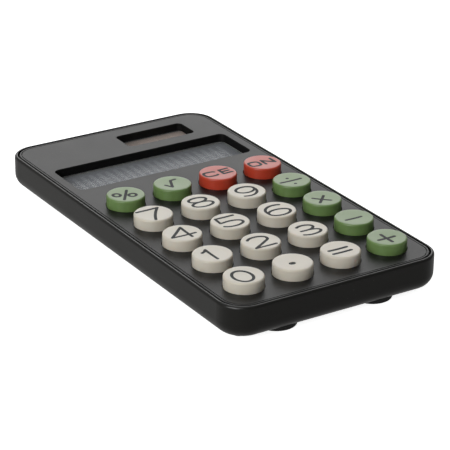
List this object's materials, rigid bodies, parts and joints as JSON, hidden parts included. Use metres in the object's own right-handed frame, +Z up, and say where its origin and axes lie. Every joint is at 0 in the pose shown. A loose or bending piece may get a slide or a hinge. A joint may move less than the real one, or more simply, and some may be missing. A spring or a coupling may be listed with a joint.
{
  "type": "desk calculator",
  "caption": "Slim rectangular desk calculator with tall round keys, a sunk wide display window and a small solar window.",
  "frame": {"origin": "middle of the base, level with the bottoms of the rubber feet", "axes": "+Z up out of the key panel, +X to the right along the key rows, +Y from the front edge towards the display"},
  "size_m": [0.0886, 0.1648, 0.0182],
  "materials": {
    "case_plastic": "fine moulded texture, black",
    "panel_plastic": "fine moulded texture, dark grey",
    "key_white": "satin, off-white",
    "key_green": "satin, soft green",
    "key_red": "satin, orange red",
    "foot_rubber": "matt black",
    "silicone": "translucent grey",
    "board_laminate": "brown paper laminate with a lacquer",
    "black_resin": "glossy black",
    "component_black": "matt black",
    "component_tan": "matt tan",
    "clear_window": "clear",
    "polariser_film": "satin blue grey film",
    "lcd_glass": "clear",
    "reflector_film": "brushed silver film",
    "foam": "black foam",
    "connector_rubber": "striped grey",
    "frame_plastic": "white",
    "solar_glass": "brown amorphous silicon behind glass",
    "cell_steel": "bright",
    "contact_metal": "bright",
    "wire_insulation": "satin",
    "screw_steel": "zinc plated"
  },
  "bodies": {
    "casing": {"rear_case": "case_plastic", "front_panel": "panel_plastic", "foot_front_left": "foot_rubber", "foot_front_right": "foot_rubber", "foot_back_left": "foot_rubber", "foot_back_right": "foot_rubber", "key_mat": "silicone", "circuit_board": "board_laminate", "chip_cover": "black_resin", "resistors": "component_black", "capacitors": "component_tan", "display_window": "clear_window", "lcd_front_polariser": "polariser_film", "lcd_front_glass": "lcd_glass", "lcd_rear_glass": "lcd_glass", "lcd_reflector": "reflector_film", "lcd_foam_pad": "foam", "lcd_rubber_connector": "connector_rubber", "lcd_frame": "frame_plastic", "solar_window": "clear_window", "solar_cell": "solar_glass", "button_cell": "cell_steel", "battery_contact_plus": "contact_metal", "battery_contact_minus": "contact_metal", "battery_cover": "case_plastic", "battery_wires": "wire_insulation", "solar_wires": "wire_insulation", "case_screws": "screw_steel", "board_screws": "screw_steel", "battery_cover_screw": "screw_steel"},
    "key_0": {"key_0": "key_white"},
    "key_point": {"key_point": "key_white"},
    "key_equals": {"key_equals": "key_white"},
    "key_plus": {"key_plus": "key_green"},
    "key_1": {"key_1": "key_white"},
    "key_2": {"key_2": "key_white"},
    "key_3": {"key_3": "key_white"},
    "key_minus": {"key_minus": "key_green"},
    "key_4": {"key_4": "key_white"},
    "key_5": {"key_5": "key_white"},
    "key_6": {"key_6": "key_white"},
    "key_times": {"key_times": "key_green"},
    "key_7": {"key_7": "key_white"},
    "key_8": {"key_8": "key_white"},
    "key_9": {"key_9": "key_white"},
    "key_divide": {"key_divide": "key_green"},
    "key_percent": {"key_percent": "key_green"},
    "key_root": {"key_root": "key_green"},
    "key_ce": {"key_ce": "key_red"},
    "key_on": {"key_on": "key_red"}
  },
  "joints": [
    {"name": "key_0_press", "type": "slide", "parent": "casing", "child": "key_0", "axis": [0, 0, -1], "range_m": [0, 0.0013], "stiffness_N_per_m": 400, "springref_m": -0.0006, "deforming": ["key_mat"]},
    {"name": "key_point_press", "type": "slide", "parent": "casing", "child": "key_point", "axis": [0, 0, -1], "range_m": [0, 0.0013], "stiffness_N_per_m": 400, "springref_m": -0.0006, "deforming": ["key_mat"]},
    {"name": "key_equals_press", "type": "slide", "parent": "casing", "child": "key_equals", "axis": [0, 0, -1], "range_m": [0, 0.0013], "stiffness_N_per_m": 400, "springref_m": -0.0006, "deforming": ["key_mat"]},
    {"name": "key_plus_press", "type": "slide", "parent": "casing", "child": "key_plus", "axis": [0, 0, -1], "range_m": [0, 0.0013], "stiffness_N_per_m": 400, "springref_m": -0.0006, "deforming": ["key_mat"]},
    {"name": "key_1_press", "type": "slide", "parent": "casing", "child": "key_1", "axis": [0, 0, -1], "range_m": [0, 0.0013], "stiffness_N_per_m": 400, "springref_m": -0.0006, "deforming": ["key_mat"]},
    {"name": "key_2_press", "type": "slide", "parent": "casing", "child": "key_2", "axis": [0, 0, -1], "range_m": [0, 0.0013], "stiffness_N_per_m": 400, "springref_m": -0.0006, "deforming": ["key_mat"]},
    {"name": "key_3_press", "type": "slide", "parent": "casing", "child": "key_3", "axis": [0, 0, -1], "range_m": [0, 0.0013], "stiffness_N_per_m": 400, "springref_m": -0.0006, "deforming": ["key_mat"]},
    {"name": "key_minus_press", "type": "slide", "parent": "casing", "child": "key_minus", "axis": [0, 0, -1], "range_m": [0, 0.0013], "stiffness_N_per_m": 400, "springref_m": -0.0006, "deforming": ["key_mat"]},
    {"name": "key_4_press", "type": "slide", "parent": "casing", "child": "key_4", "axis": [0, 0, -1], "range_m": [0, 0.0013], "stiffness_N_per_m": 400, "springref_m": -0.0006, "deforming": ["key_mat"]},
    {"name": "key_5_press", "type": "slide", "parent": "casing", "child": "key_5", "axis": [0, 0, -1], "range_m": [0, 0.0013], "stiffness_N_per_m": 400, "springref_m": -0.0006, "deforming": ["key_mat"]},
    {"name": "key_6_press", "type": "slide", "parent": "casing", "child": "key_6", "axis": [0, 0, -1], "range_m": [0, 0.0013], "stiffness_N_per_m": 400, "springref_m": -0.0006, "deforming": ["key_mat"]},
    {"name": "key_times_press", "type": "slide", "parent": "casing", "child": "key_times", "axis": [0, 0, -1], "range_m": [0, 0.0013], "stiffness_N_per_m": 400, "springref_m": -0.0006, "deforming": ["key_mat"]},
    {"name": "key_7_press", "type": "slide", "parent": "casing", "child": "key_7", "axis": [0, 0, -1], "range_m": [0, 0.0013], "stiffness_N_per_m": 400, "springref_m": -0.0006, "deforming": ["key_mat"]},
    {"name": "key_8_press", "type": "slide", "parent": "casing", "child": "key_8", "axis": [0, 0, -1], "range_m": [0, 0.0013], "stiffness_N_per_m": 400, "springref_m": -0.0006, "deforming": ["key_mat"]},
    {"name": "key_9_press", "type": "slide", "parent": "casing", "child": "key_9", "axis": [0, 0, -1], "range_m": [0, 0.0013], "stiffness_N_per_m": 400, "springref_m": -0.0006, "deforming": ["key_mat"]},
    {"name": "key_divide_press", "type": "slide", "parent": "casing", "child": "key_divide", "axis": [0, 0, -1], "range_m": [0, 0.0013], "stiffness_N_per_m": 400, "springref_m": -0.0006, "deforming": ["key_mat"]},
    {"name": "key_percent_press", "type": "slide", "parent": "casing", "child": "key_percent", "axis": [0, 0, -1], "range_m": [0, 0.0013], "stiffness_N_per_m": 400, "springref_m": -0.0006, "deforming": ["key_mat"]},
    {"name": "key_root_press", "type": "slide", "parent": "casing", "child": "key_root", "axis": [0, 0, -1], "range_m": [0, 0.0013], "stiffness_N_per_m": 400, "springref_m": -0.0006, "deforming": ["key_mat"]},
    {"name": "key_ce_press", "type": "slide", "parent": "casing", "child": "key_ce", "axis": [0, 0, -1], "range_m": [0, 0.0013], "stiffness_N_per_m": 400, "springref_m": -0.0006, "deforming": ["key_mat"]},
    {"name": "key_on_press", "type": "slide", "parent": "casing", "child": "key_on", "axis": [0, 0, -1], "range_m": [0, 0.0013], "stiffness_N_per_m": 400, "springref_m": -0.0006, "deforming": ["key_mat"]}
  ]
}
